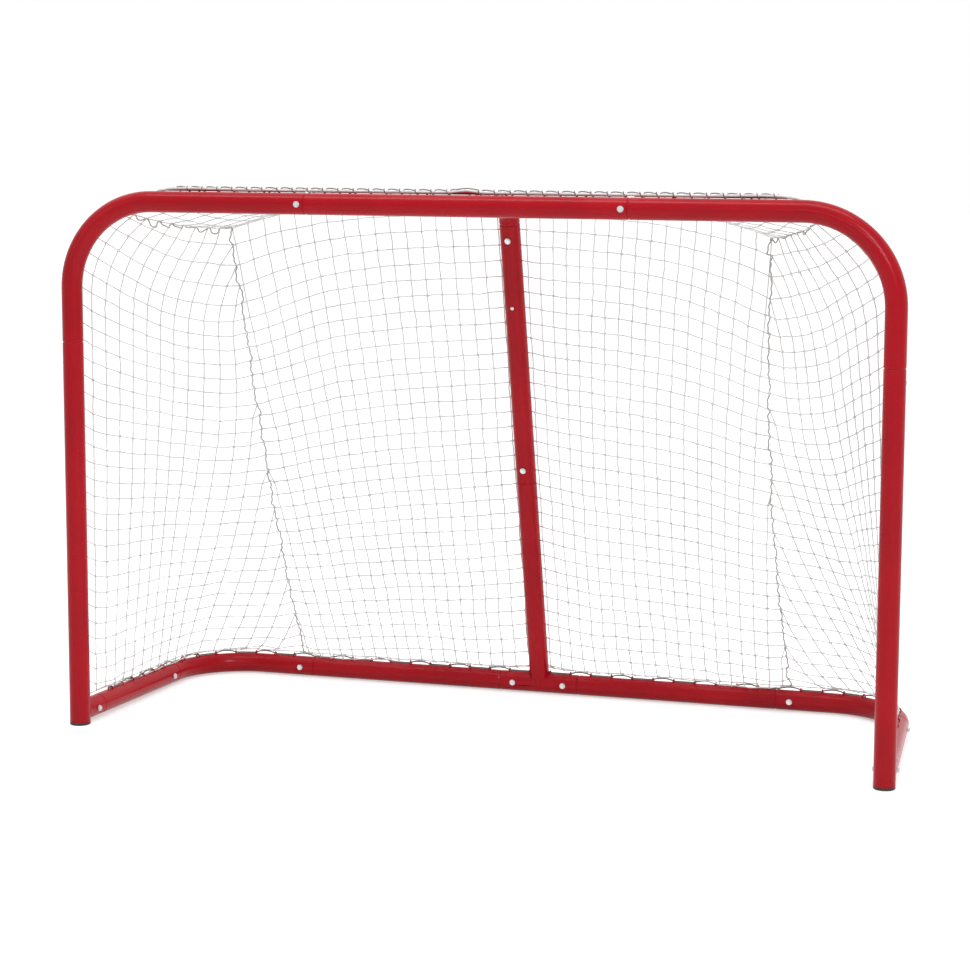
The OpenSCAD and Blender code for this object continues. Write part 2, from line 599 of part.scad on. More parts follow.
// Lattice sheet: one closed solid with nu x nv square gaps, on points p(i/nu, j/nv).
module lattice(nu, nv, p) {
  g = [for (j = [0:nv]) for (i = [0:nu]) p(i / nu, j / nv)];
  function at(i, j) = g[j * (nu + 1) + i];
  function unit(v) = v / max(norm(v), 0.001);
  function normal(i, j) = unit(cross(at(min(i + 1, nu), j) - at(max(i - 1, 0), j),
                                     at(i, min(j + 1, nv)) - at(i, max(j - 1, 0))));
  function inset(i, j, a, b) = let(
      o = at(i + a, j + b),
      du = at(i + 1 - a, j + b) - o,
      dv = at(i + a, j + 1 - b) - o)
    o + unit(du) * net_bar / 2 + unit(dv) * net_bar / 2;
  n = (nu + 1) * (nv + 1);
  m = nu * nv * 4;
  corners = [[0, 0], [1, 0], [1, 1], [0, 1]];
  gaps_mid = [for (j = [0:nv - 1]) for (i = [0:nu - 1]) for (c = corners) inset(i, j, c[0], c[1])];
  lift_n = [for (j = [0:nv]) for (i = [0:nu]) normal(i, j) * net_t / 2];
  lift_g = [for (j = [0:nv - 1]) for (i = [0:nu - 1]) for (c = corners)
    normal(i + c[0], j + c[1]) * net_t / 2];
  pts = concat(g + lift_n, gaps_mid + lift_g, g - lift_n, gaps_mid - lift_g);
  half = n + m;
  function quad(a, b, c, d) = [[a, b, c], [a, c, d]];
  cells = [for (j = [0:nv - 1]) for (i = [0:nu - 1]) for (k = [0:3])
    let(k2 = (k + 1) % 4, c = corners[k], d = corners[k2],
        o1 = (j + c[1]) * (nu + 1) + i + c[0], o2 = (j + d[1]) * (nu + 1) + i + d[0],
        q = n + (j * nu + i) * 4, q1 = q + k, q2 = q + k2)
    for (f = concat(quad(o1, q1, q2, o2), quad(half + o1, half + o2, half + q2, half + q1),
                    quad(q1, half + q1, half + q2, q2))) f];
  rim = concat([for (i = [0:nu - 1]) [i, i + 1]],
               [for (j = [0:nv - 1]) [j * (nu + 1) + nu, (j + 1) * (nu + 1) + nu]],
               [for (i = [nu - 1:-1:0]) [nv * (nu + 1) + i + 1, nv * (nu + 1) + i]],
               [for (j = [nv - 1:-1:0]) [(j + 1) * (nu + 1), j * (nu + 1)]]);
  walls = [for (e = rim) for (f = quad(e[0], e[1], half + e[1], half + e[0])) f];
  polyhedron(points = pts, faces = concat(cells, walls));
}

// Parameters over the whole width: u from 0 at the left seam to 1 at the right one.
function half_of(u) = u < 0.5 ? -1 : 1;
function out_of(u) = abs(2 * u - 1);
side_share = 0.985;                        // the side panels stop short of the seam by the rest
module net_top() color(net_white) at_mouth() lattice(top_cols, 3, function(u, v)
  top_point(half_of(u), out_of(u) * 0.985, 0.94 * v));
module net_back() color(net_white) at_mouth() lattice(top_cols, 8, function(u, v)
  back_point(half_of(u), out_of(u) * 0.985, 0.012 + 0.988 * v));
module net_side(s) color(net_white) at_mouth() lattice(5, 8, function(u, v)
  side_point(s, side_share * (s > 0 ? 1 - u : u), 0.012 + 0.988 * v));
net_white = "#ececea";
top_cols = 10;
module net_side_left() net_side(-1);
module net_side_right() net_side(1);

// ---------- cords ----------
// Round cord through a list of points: a ring of `sides` points square to the route at each.
module swept(route, d, sides = 6) {
  last = len(route) - 1;
  function unit(v) = v / max(norm(v), 0.001);
  function along(i) = unit(route[min(i + 1, last)] - route[max(i - 1, 0)]);
  function first_side(t) = unit(cross(t, abs(t[2]) < 0.8 ? [0, 0, 1] : [0, 1, 0]));
  function carried(i) = i == 0 ? first_side(along(0)) :
    let(k = carried(i - 1), t = along(i)) unit(k - t * (k * t));
  rings = [for (i = [0:last]) let(t = along(i), a = carried(i), b = cross(t, a))
    for (k = [0:sides - 1]) route[i] + (a * cos(360 * k / sides) + b * sin(360 * k / sides)) * d / 2];
  skin = [for (i = [0:last - 1]) for (k = [0:sides - 1])
    let(a = i * sides + k, b = i * sides + (k + 1) % sides)
      each [[a, a + sides, b + sides], [a, b + sides, b]]];
  low = [for (k = [1:sides - 2]) [0, k, k + 1]];
  high = [for (k = [1:sides - 2]) [last * sides, last * sides + k + 1, last * sides + k]];
  polyhedron(points = rings, faces = concat(skin, low, high));
}

// Seam cord: from the corner of the frame along the top edge, round the upper corner and down to the base.
seam_d = cord_d * 0.7;
seam_lift = [0, 3.5, 3.5];
seam_start = border_y + cord_d / 2 + clear + seam_d / 2 - front_y;
seam_back = lace_d / 2 + seam_d / 2 + clear;
function seam_route(s) = concat(
  [side_top(s, 0) + [0, seam_start, 0]],
  [for (i = [1:5]) side_top(s, i / 5) + seam_lift],
  [for (i = [1:10]) back_point(s, 1, i / 11) + [s * 1.5, cord_d, 0]],
  [back_point(s, 1, 1) + [0, seam_back, 0],
   back_point(s, 1, 1) + [0, seam_back, tube_r - lace_top - net_bar / 2]]);
module seam_cord_left() color(net_white) at_mouth() swept(seam_route(-1), seam_d, 5);
module seam_cord_right() color(net_white) at_mouth() swept(seam_route(1), seam_d, 5);

// Border cord: up behind each post and corner, then beside the lacing rod, over the brace's socket.
function by_rod(x, across, out) = let(lift = 4.5 * exp(-pow(x / 26, 2)))
  [x,
   rod_y + across * sin(rod_tilt) + out * cos(rod_tilt),
   rod_z - across * cos(rod_tilt) + out * sin(rod_tilt) + lift];
border_low = 90;
function border_up(s) = [for (i = [0:6]) [s * post_x, border_y, mix(border_low, arc_z, i / 6)]];
function border_bend(s) = [for (a = [15:15:75])
  [s * (arc_x + bend_r * cos(a)), border_y, arc_z + bend_r * sin(a)]];
border_xs = concat([for (t = [1, 0.7, 0.35]) t * (rod_half - 2)], [60, 36, 18, 0]);
function border_bar(s) = [for (x = border_xs) by_rod(s * x, 2 * lace_off, 0)];
function backward(v) = [for (i = [len(v) - 1:-1:0]) v[i]];
function border_turn(s) = [[s * (arc_x + 14), border_y + 1, bar_z + 8]];
function border_half(s) = concat(border_up(s), border_bend(s), border_turn(s), border_bar(s));
border_left = border_half(-1);
border_right = backward(border_half(1));
border_all = concat(border_left, [for (i = [1:len(border_right) - 1]) border_right[i]]);
module border_cord() color(net_white) at_mouth() swept(border_all, cord_d, 5);

// Spiral lace round the rod and the border cord, one turn a mesh; it runs straight over the brace.
mesh = 36;                                 // bar of the real mesh, which sets the lacing's pitch
lace_turns = 2 * floor((rod_half - 20) / mesh);
lace_ring = 5;                             // points in a turn
crossbar_lace_route = [for (i = [0:lace_ring * lace_turns])
  let(x = (i / lace_ring - lace_turns / 2) * mesh, a = abs(x) < 0.8 * mesh ? 0 : 360 * i / lace_ring)
    by_rod(x, lace_off + lace_half * sin(a), lace_rise * cos(a))];
module crossbar_lace() color("#8d8078") at_mouth() swept(crossbar_lace_route, lace_d, 5);

// Running lace along the base: through every eye, with an arch over every second bay.
lace_low = tube_r + clear + lace_d / 2;
lace_high = lace_top - lace_d / 2;
function lace_at(c) = let(
    p = base_at(abs(c)),
    s = c < 0 ? -1 : 1,
    k = abs(c) / eye_pitch + 0.5,
    bay = floor(k),
    arch = mix(lace_low, lace_high, pow(abs(sin(180 * (k - bay))), 0.7)))
  [s * p[0], p[1], bay % 2 == 0 ? arch : lace_low];
lace_steps = eye_count * 3 - 1;
base_lace_route = [for (k = [-lace_steps:lace_steps]) lace_at((k + 0.5 * sign(k)) * eye_pitch / 3)];
module base_lace() color("#8d8078") at_base() swept(base_lace_route, lace_d, 5);

crossbar_middle();
corner_left();
corner_right();
post_left();
post_right();
foot_cap_left();
foot_cap_right();
base_side_left();
base_side_right();
base_corner_left();
base_corner_right();
back_bar_left();
back_bar_right();
base_tee();
centre_post();
centre_brace();
crossbar_screws();
crossbar_nuts();
post_screws();
centre_screws();
centre_nuts();
base_screws();
base_nuts();
net_top();
net_back();
net_side_left();
net_side_right();
seam_cord_left();
seam_cord_right();
border_cord();
crossbar_lace();
base_lace();
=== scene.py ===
import bpy, json, math
import numpy as np
from mathutils import Matrix, Vector


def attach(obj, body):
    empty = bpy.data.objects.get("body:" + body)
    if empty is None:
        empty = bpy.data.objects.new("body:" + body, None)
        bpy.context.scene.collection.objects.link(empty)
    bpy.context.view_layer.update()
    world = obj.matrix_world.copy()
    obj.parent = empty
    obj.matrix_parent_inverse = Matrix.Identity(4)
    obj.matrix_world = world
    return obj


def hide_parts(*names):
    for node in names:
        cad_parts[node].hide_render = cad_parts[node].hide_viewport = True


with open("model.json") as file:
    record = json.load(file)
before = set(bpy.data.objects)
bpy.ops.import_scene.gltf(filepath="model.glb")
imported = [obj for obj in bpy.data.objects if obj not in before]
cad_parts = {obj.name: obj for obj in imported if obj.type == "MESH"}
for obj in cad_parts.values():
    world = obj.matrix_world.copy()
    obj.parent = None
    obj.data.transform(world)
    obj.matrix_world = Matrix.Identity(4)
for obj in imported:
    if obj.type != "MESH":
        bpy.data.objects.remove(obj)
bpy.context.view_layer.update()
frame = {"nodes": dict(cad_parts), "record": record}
NODES = frame["nodes"]
R = math.radians

# ---- sizes of the goal, metres, in the part's frame ----
MOUTH = -0.320                 # plane of the posts' axes
POST_X, BAR_Z = 0.939, 1.220   # axes of the posts and the crossbar
TUBE = 0.024                   # radius of the frame's tubes
ARC_X, ARC_Z, ARC_R = 0.739, 1.020, 0.2     # centre and radius of the top corners
DEPTH = 0.640                  # from the mouth plane to the back bar's axis
MESH = 0.036                   # bar length of the net
TWINE = 0.0013                 # radius of the twine
ROD_Y, ROD_Z = 0.01922, 1.24744             # axis of the lacing rod behind the crossbar
ROD_TILT = R(55)               # how far round the crossbar the rod stands
ROD_RUN = 0.692                # length of rod laced on each side of the middle


# ================= materials =================
def new_group(name, inputs, outputs):
    g = bpy.data.node_groups.new(name, "ShaderNodeTree")
    for n, kind, value in inputs:
        s = g.interface.new_socket(n, in_out="INPUT", socket_type="NodeSocket" + kind)
        if value is not None:
            s.default_value = value
    for n, kind in outputs:
        g.interface.new_socket(n, in_out="OUTPUT", socket_type="NodeSocket" + kind)
    return g, g.nodes.new("NodeGroupInput"), g.nodes.new("NodeGroupOutput")


def node(tree, kind, ins=(), **props):
    n = tree.nodes.new(kind)
    for k, v in props.items():
        setattr(n, k, v)
    for k, v in dict(ins).items():
        if isinstance(v, bpy.types.NodeSocket):
            tree.links.new(v, n.inputs[k])
        else:
            n.inputs[k].default_value = v
    return n


def ramp(tree, fac, stops):
    n = node(tree, "ShaderNodeValToRGB", {"Fac": fac})
    e = n.color_ramp.elements
    while len(e) < len(stops):
        e.new(0.5)
    for el, (p, c) in zip(e, stops):
        el.position = p
        el.color = (*c, 1)
    return n


def math_node(tree, op, a, b=0.0):
    return node(tree, "ShaderNodeMath", {0: a, 1: b}, operation=op).outputs[0]


def mix_color(tree, fac, a, b, blend="MIX"):
    n = tree.nodes.new("ShaderNodeMix")
    n.data_type, n.blend_type = "RGBA", blend
    for i, v in ((0, fac), (6, a), (7, b)):
        if isinstance(v, bpy.types.NodeSocket):
            tree.links.new(v, n.inputs[i])
        else:
            n.inputs[i].default_value = v
    return n.outputs[2]


def bump(tree, shader, height, strength, distance):
    b = node(tree, "ShaderNodeBump", {"Strength": strength, "Distance": distance, "Height": height})
    tree.links.new(b.outputs[0], shader.inputs["Normal"])


def wear_group():
    """Colour, roughness and height of a powder coat: orange peel, fine scratches and dust on top."""
    g, i, o = new_group("coat_wear",
                        [("Color", "Color", (0.4, 0.01, 0.02, 1)), ("Scratch", "Float", 0.5), ("Dust", "Float", 0.3)],
                        [("Color", "Color"), ("Roughness", "Float"), ("Height", "Float")])
    pos = node(g, "ShaderNodeNewGeometry")
    peel = node(g, "ShaderNodeTexNoise", {"Vector": pos.outputs["Position"], "Scale": 420.0, "Detail": 2.0})
    broad = node(g, "ShaderNodeTexNoise", {"Vector": pos.outputs["Position"], "Scale": 5.0, "Detail": 5.0})
    stretch = node(g, "ShaderNodeMapping", {"Vector": pos.outputs["Position"], "Rotation": (0.4, 0.9, 0.2),
                                            "Scale": (40.0, 6.0, 300.0)})
    lines = node(g, "ShaderNodeTexNoise", {"Vector": stretch.outputs[0], "Scale": 2.2, "Detail": 3.0})
    scratch = ramp(g, lines.outputs["Fac"], [(0.60, (0, 0, 0)), (0.66, (1, 1, 1))])
    patch = ramp(g, broad.outputs["Fac"], [(0.48, (0, 0, 0)), (0.62, (1, 1, 1))])
    patchy = math_node(g, "MULTIPLY", scratch.outputs["Color"], patch.outputs["Color"])
    amount = math_node(g, "MULTIPLY", patchy, i.outputs["Scratch"])
    shade = ramp(g, broad.outputs["Fac"], [(0.3, (0.86, 0.86, 0.86)), (0.7, (1.06, 1.06, 1.06))])
    base = mix_color(g, 1.0, i.outputs["Color"], shade.outputs["Color"], "MULTIPLY")
    worn = mix_color(g, math_node(g, "MULTIPLY", amount, 0.28), base, (0.62, 0.20, 0.22, 1))
    up = node(g, "ShaderNodeSeparateXYZ", {0: pos.outputs["Normal"]})
    top = ramp(g, up.outputs["Z"], [(0.45, (0, 0, 0)), (0.98, (1, 1, 1))])
    settled = math_node(g, "MULTIPLY", top.outputs["Color"], i.outputs["Dust"])
    dusty = math_node(g, "MULTIPLY", settled, patch.outputs["Color"])
    out = mix_color(g, math_node(g, "MULTIPLY", dusty, 0.30), worn, (0.42, 0.33, 0.32, 1))
    g.links.new(out, o.inputs["Color"])
    rough = math_node(g, "ADD", math_node(g, "MULTIPLY", amount, 0.16), math_node(g, "MULTIPLY", dusty, 0.25))
    g.links.new(rough, o.inputs["Roughness"])
    g.links.new(peel.outputs["Fac"], o.inputs["Height"])
    return g


def twine_group():
    """Twist of a twine: fine diagonal strands with painted shade in the grooves between them, slightly soiled."""
    g, i, o = new_group("twine_twist", [("Color", "Color", (0.8, 0.8, 0.78, 1)), ("Soil", "Float", 0.3)],
                        [("Color", "Color"), ("Height", "Float")])
    pos = node(g, "ShaderNodeNewGeometry")
    waves = {"Vector": pos.outputs["Position"], "Scale": 260.0, "Distortion": 6.0, "Detail": 2.0,
             "Detail Scale": 2.0}
    fine = node(g, "ShaderNodeTexWave", waves, bands_direction="DIAGONAL")
    soil = node(g, "ShaderNodeTexNoise", {"Vector": pos.outputs["Position"], "Scale": 9.0, "Detail": 4.0})
    mask = ramp(g, soil.outputs["Fac"], [(0.42, (0, 0, 0)), (0.72, (1, 1, 1))])
    soiled = math_node(g, "MULTIPLY", mask.outputs["Color"], i.outputs["Soil"])
    dirty = mix_color(g, soiled, i.outputs["Color"], (0.30, 0.27, 0.25, 1))
    # painted shade: the colour falls to 0.72 of the twine's where the strands' bump is low, in the grooves between
    # them
    strand = ramp(g, fine.outputs["Fac"], [(0.0, (0.72, 0.72, 0.72)), (0.6, (1, 1, 1))])
    g.links.new(mix_color(g, 1.0, dirty, strand.outputs["Color"], "MULTIPLY"), o.inputs["Color"])
    g.links.new(fine.outputs["Fac"], o.inputs["Height"])
    return g


WEAR, TWIST = wear_group(), twine_group()


def material(name):
    m = bpy.data.materials.new(name)
    m.use_nodes = True
    return m, m.node_tree, m.node_tree.nodes["Principled BSDF"]


def red_coat():
    m, t, p = material("red_coat")
    w = node(t, "ShaderNodeGroup", {}, node_tree=WEAR)
    w.inputs["Color"].default_value = (0.385, 0.002, 0.009, 1)
    w.inputs["Scratch"].default_value = 0.08
    w.inputs["Dust"].default_value = 0.18
    t.links.new(w.outputs["Color"], p.inputs["Base Color"])
    t.links.new(math_node(t, "ADD", w.outputs["Roughness"], 0.26), p.inputs["Roughness"])
    bump(t, p, w.outputs["Height"], 0.012, 0.0005)
    p.inputs["Specular IOR Level"].default_value = 0.12
    p.inputs["Coat Weight"].default_value = 0.08
    p.inputs["Coat Roughness"].default_value = 0.10
    return m


def cap_plastic():
    m, t, p = material("cap_plastic")
    pos = node(t, "ShaderNodeNewGeometry").outputs["Position"]
    grain = node(t, "ShaderNodeTexNoise", {"Vector": pos, "Scale": 260.0})
    p.inputs["Base Color"].default_value = (0.012, 0.012, 0.013, 1)
    p.inputs["Roughness"].default_value = 0.55
    bump(t, p, grain.outputs["Fac"], 0.15, 0.0004)
    return m


def zinc_steel():
    m, t, p = material("zinc_steel")
    pos = node(t, "ShaderNodeNewGeometry").outputs["Position"]
    grain = node(t, "ShaderNodeTexNoise", {"Vector": pos, "Scale": 700.0, "Detail": 3.0})
    c = ramp(t, grain.outputs["Fac"], [(0.3, (0.46, 0.47, 0.48)), (0.7, (0.70, 0.71, 0.72))])
    t.links.new(c.outputs["Color"], p.inputs["Base Color"])
    p.inputs["Metallic"].default_value = 1.0
    p.inputs["Roughness"].default_value = 0.28
    return m


def twine(name, color, soil):
    m, t, p = material(name)
    w = node(t, "ShaderNodeGroup", {}, node_tree=TWIST)
    w.inputs["Color"].default_value = (*color, 1)
    w.inputs["Soil"].default_value = soil
    t.links.new(w.outputs["Color"], p.inputs["Base Color"])
    p.inputs["Roughness"].default_value = 0.75
    p.inputs["Sheen Weight"].default_value = 0.3
    p.inputs["Sheen Roughness"].default_value = 0.5
    bump(t, p, w.outputs["Height"], 0.4, 0.0006)
    return m


MATS = {
    "red_coat": red_coat(),
    "cap_plastic": cap_plastic(),
    "zinc_steel": zinc_steel(),
    "net_twine": twine("net_twine", (0.80, 0.80, 0.79), 0.25),
    "seam_cord": twine("seam_cord", (0.50, 0.49, 0.47), 0.45),
    "lace_cord": twine("lace_cord", (0.20, 0.165, 0.145), 0.5),
}
SLOT_OF = {s["node"]: s["material_slot"] for s in frame["record"]["subparts"]}


def dress_frame():
    """Gives each node of the goal its material, and the hard pieces smooth shading."""
    for name, o in NODES.items():
        o.data.materials.clear()
        o.data.materials.append(MATS[SLOT_OF[name]])
        if SLOT_OF[name] in ("red_coat", "cap_plastic", "zinc_steel"):
            for poly in o.data.polygons:
                poly.use_smooth = True


# ================= net =================
def smooth(t):
    t = np.clip(t, 0, 1)
    return t * t * (3 - 2 * t)


def add_mesh(name, verts, faces, mat):
    me = bpy.data.meshes.new(name)
    me.from_pydata(verts.tolist(), [], faces)
    me.polygons.foreach_set("use_smooth", [True] * len(me.polygons))
    me.materials.append(mat)
    o = bpy.data.objects.new(name, me)
    bpy.context.scene.collection.objects.link(o)
    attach(o, "root")
    return o


def strand_mesh(name, routes, radius, sides, mat):
    """One mesh of tubes, each round a route of points."""
    verts, faces = [], []
    turn = np.arange(sides) * 2 * np.pi / sides
    ring = np.stack([np.cos(turn), np.sin(turn)], 1)
    base = 0
    for pts in routes:
        pts = np.asarray(pts, float)
        n = len(pts)
        t = np.gradient(pts, axis=0)
        t /= np.maximum(np.linalg.norm(t, axis=1, keepdims=True), 1e-9)
        a = np.zeros_like(t)
        v = np.cross(t[0], (0, 0, 1.0) if abs(t[0, 2]) < 0.8 else (0, 1.0, 0))
        for i in range(n):
            v = v - t[i] * np.dot(v, t[i])
            v /= max(np.linalg.norm(v), 1e-9)
            a[i] = v
        b = np.cross(t, a)
        around = a[:, None, :] * ring[None, :, :1] + b[:, None, :] * ring[None, :, 1:]
        verts.append((pts[:, None, :] + around * radius).reshape(-1, 3))
        for i in range(n - 1):
            low, high = base + i * sides, base + (i + 1) * sides
            for s in range(sides):
                s2 = (s + 1) % sides
                faces.append((low + s, low + s2, high + s2, high + s))
        faces.append(tuple(base + s for s in reversed(range(sides))))
        faces.append(tuple(base + (n - 1) * sides + s for s in range(sides)))
        base += n * sides
    return add_mesh(name, np.concatenate(verts), faces, mat)


def at(x, y, z):
    """A point given from the mouth plane, moved into the part's frame."""
    return np.array([x, y + MOUTH, z], float)


TAPER, BEND = R(4.0), 0.180    # how far the base sides turn inwards, and the radius of their bends
BASE_Z, BASE_FALL = 0.030, 0.006            # height of the base's axis at the posts, and its fall to the back bar
FALL = math.atan(BASE_FALL / DEPTH)
BASE_D = DEPTH / math.cos(FALL)
ARC_CY = BASE_D - BEND
BEND_S = (ARC_CY + BEND * math.sin(TAPER)) / math.cos(TAPER)
ARC_CX = POST_X - BEND_S * math.sin(TAPER) - BEND * math.cos(TAPER)
BEND_LEN = BEND * (math.pi / 2 - TAPER)
BASE_LEN = ARC_CX + BEND_LEN + BEND_S
PITCH = 0.052                  # spacing of the lace eyes on the base
SEAM_C = 12 * PITCH            # where the seams are tied, from the middle of the back bar


def base_at(c):
    """Axis of the base, c from the middle of the back bar: x, y and z from the mouth plane."""
    s, c = (-1, -c) if c < 0 else (1, c)
    if c < ARC_CX:
        x, y = c, BASE_D
    elif c < ARC_CX + BEND_LEN:
        a = math.pi / 2 - (c - ARC_CX) / BEND
        x, y = ARC_CX + BEND * math.cos(a), ARC_CY + BEND * math.sin(a)
    else:
        r = BASE_LEN - c
        x, y = POST_X - r * math.sin(TAPER), r * math.cos(TAPER)
    return s * x, y * math.cos(FALL), BASE_Z - y * math.sin(FALL)


def lace_height(c):
    """Height of the base lace over the axis: an arch over every second bay, low between."""
    k = abs(c) / PITCH + 0.5
    bay, f = int(k), k - int(k)
    low, high = TUBE + 0.0021, TUBE + 0.0075
    return low + (high - low) * math.sin(math.pi * f) ** 0.7 if bay % 2 == 0 else low


def foot(c):
    """Where the net's lower edge is held, c along the base."""
    x, y, z = base_at(c)
    back = max(0.0, 1 - abs(c) / 0.075)
    return at(x, y + 0.0255 * smooth(back), z + TUBE + 0.0105 + 0.001 * math.cos(c * 60))


FRONT_Y = 0.0349               # the net's front edge behind the posts' axes
REAR_X, REAR_Y, REAR_Z = 0.634, 0.224, 1.158     # the net's upper rear corners
RIDGE_Y, RIDGE_Z = 0.3675, 1.2335                # the net over the elbow of the centre support


def bar_edge(p):
    """Front edge of the top panel: p along the crossbar from the middle, then round the corner."""
    s, p = (-1, -p) if p < 0 else (1, p)
    f = min(1.0, max(0.0, (p - 0.712) / 0.08))
    a = math.pi / 2 - max(0.0, p - ARC_X) / ARC_R
    lift = 0.004 * math.exp(-(p / 0.03) ** 2)
    y = (ROD_Y + 0.0126) * (1 - f) + FRONT_Y * f
    z = (ROD_Z + 0.002 + lift) * (1 - f) + (ARC_Z + ARC_R * math.sin(a)) * f
    return at(s * (min(p, ARC_X) + ARC_R * math.cos(a)), y, z)


CROWN = {-1: R(64), 1: R(76)}   # angle up the frame's corner where each crown cord is tied


def edge_end(s):
    return ARC_X + ARC_R * (math.pi / 2 - CROWN[s])


def rear_edge(t):
    """Fold between the top and back panels, t from -1 to 1; taut at the support, it drops at the corners."""
    s, t = (-1, -t) if t < 0 else (1, t)
    return at(s * REAR_X * t, RIDGE_Y + (REAR_Y - RIDGE_Y) * t ** 1.1, RIDGE_Z + (REAR_Z - RIDGE_Z) * t ** 3.2)


def seam(side, v):
    """Seam between the back and side panels, v from the upper corner to the base; it bows inwards."""
    a, b = at(side * REAR_X, REAR_Y, REAR_Z), foot(side * SEAM_C)
    k = 4 * v * (1 - v)
    return a + (b - a) * v - np.array([side * 0.010, 0.058, 0.012]) * k


def post_edge(side, v):
    """Front edge of a side panel, v from the crown cord's tie down the corner and post to the stub."""
    end = foot(side * (BASE_LEN - FRONT_Y))
    arc = ARC_R * CROWN[side]
    p = v * (arc + ARC_Z - end[2])
    a = CROWN[side] - p / ARC_R
    if a > 0:
        return at(side * (ARC_X + ARC_R * math.cos(a)), FRONT_Y, ARC_Z + ARC_R * math.sin(a))
    f = (p - arc) / (ARC_Z - end[2])
    top = at(side * POST_X, FRONT_Y, ARC_Z)
    return top + (end - top) * f


def side_top(side, t):
    a, b = post_edge(side, 0), at(side * REAR_X, REAR_Y, REAR_Z)
    return a + (b - a) * t - np.array([0, 0, 0.012 * 4 * t * (1 - t)])


def coons(nu, nv, top, bottom, left, right):
    """Grid of points between four edge functions."""
    grid = np.zeros((nv + 1, nu + 1, 3))
    c00, c10, c01, c11 = top(0), top(1), bottom(0), bottom(1)
    sides = [(left(j / nv), right(j / nv)) for j in range(nv + 1)]
    ends = [(top(i / nu), bottom(i / nu)) for i in range(nu + 1)]
    for j in range(nv + 1):
        v = j / nv
        for i in range(nu + 1):
            u = i / nu
            corners = c00 * (1 - u) * (1 - v) + c10 * u * (1 - v) + c01 * (1 - u) * v + c11 * u * v
            grid[j, i] = (ends[i][0] * (1 - v) + ends[i][1] * v + sides[j][0] * (1 - u) + sides[j][1] * u
                          - corners)
    return grid


class Net:
    """A net of knots and bars that sags and settles between what holds it."""

    def __init__(self):
        self.p, self.fixed, self.bars, self.rest, self.index = [], [], [], [], {}

    def knot(self, key, pos, fixed):
        if key not in self.index:
            self.index[key] = len(self.p)
            self.p.append(np.array(pos, float))
            self.fixed.append(fixed)
        elif fixed:
            self.fixed[self.index[key]] = True
        return self.index[key]

    def bar(self, a, b, slack):
        if a != b:
            self.bars.append((a, b))
            self.rest.append(slack)

    def settle(self, steps, keep_off):
        """Steps of fall under gravity, after each of which bars that are too long pull their knots together."""
        gravity, slack, damping = 0.00004, 1.004, 0.80
        pulls, pull = 6, 1.7
        p = np.array(self.p)
        fixed = np.array(self.fixed)
        bars = np.array(self.bars)
        a, b = bars[:, 0], bars[:, 1]
        rest = np.linalg.norm(p[a] - p[b], axis=1) * slack * np.array(self.rest)
        w = np.where(fixed, 0.0, 1.0)
        count = np.maximum(np.bincount(a, minlength=len(p)) + np.bincount(b, minlength=len(p)), 1)
        old = p.copy()
        for step in range(steps):
            v = (p - old) * damping
            old = p.copy()
            p = p + v * w[:, None]
            p[:, 2] -= gravity * w
            for _ in range(pulls):
                d = p[b] - p[a]
                n = np.linalg.norm(d, axis=1)
                over = np.maximum(n - rest, 0) / np.maximum(n, 1e-9)
                corr = d * (over / np.maximum(w[a] + w[b], 1e-9))[:, None]
                move = np.zeros_like(p)
                for k in range(3):
                    move[:, k] = (np.bincount(a, corr[:, k] * w[a], len(p))
                                  - np.bincount(b, corr[:, k] * w[b], len(p)))
                p = p + move / count[:, None] * pull
            p = np.where(fixed[:, None], p, keep_off(p))
        self.p = p


# axes of the centre support, y and z from the mouth plane: brace, its elbow, centre post
SUPPORT = (((0.0, BAR_Z), (0.312, 1.2073)), ((0.3085, 1.2075), (0.3465, 1.192)), ((0.3465, 1.192), (DEPTH, 0.024)))


def keep_off(p):
    """Pushes knots out of the tubes of the centre support, to the outer side."""
    q = p.copy()
    gap = TUBE + 0.004
    for start, end in SUPPORT:
        a, b = at(0, *start), at(0, *end)
        d = b - a
        t = np.clip(((q - a) @ d) / (d @ d), 0, 1)
        near = a + t[:, None] * d
        off = q - near
        out = np.cross(np.array([1.0, 0, 0]), d)
        out *= np.sign(out[1] + out[2] * 0.2) / np.linalg.norm(out)
        depth = off @ out
        inside = (np.linalg.norm(off, axis=1) < gap) & (depth < 0)
        off = off - np.where(inside, 2 * depth, 0.0)[:, None] * out
        n = np.linalg.norm(off, axis=1)
        push = np.where(n < gap, gap / np.maximum(n, 1e-9), 1.0)
        q = near + off * push[:, None]
    return q


COLS, ROWS = 36, 33            # meshes of the back, across and down
TOP_ROWS, DEEP = 9, 17         # meshes of the top from front to rear, and of a side at its deepest
GATHER = 0.13                  # share by which the back's columns draw together towards the base
rng = np.random.default_rng(7)


def slide_along(column, v):
    """Point of a column of grid points at v, 0 to 1."""
    a = min(int(v * (len(column) - 1)), len(column) - 2)
    f = v * (len(column) - 1) - a
    return column[a] + (column[a + 1] - column[a]) * f


def sheet_point(sheet, u, level):
    """Point of a grid of points, u across it from 0 to 1 and level down it."""
    x = u * (sheet.shape[1] - 1)
    k = min(int(x), sheet.shape[1] - 2)
    return slide_along(sheet[:, k], level) * (1 - x + k) + slide_along(sheet[:, k + 1], level) * (x - k)


def seam_level(j):
    """How far down the seam row j meets it: the rows drop towards the seams."""
    return min(1.0, j / ROWS + 0.042 * smooth(j / 5))


POST_ROW = {-1: 0.042, 1: 0.0387}           # spacing of the rows down each post
POST_ROW_CLOSER = {-1: 0.00009, 1: 0.0}     # by how much it shrinks from row to row
FIRST_POST_ROW = 2.3           # the row that is tied CORNER_TIE up the corner from the post
CORNER_TIE, POST_RUN = 0.157, 0.970


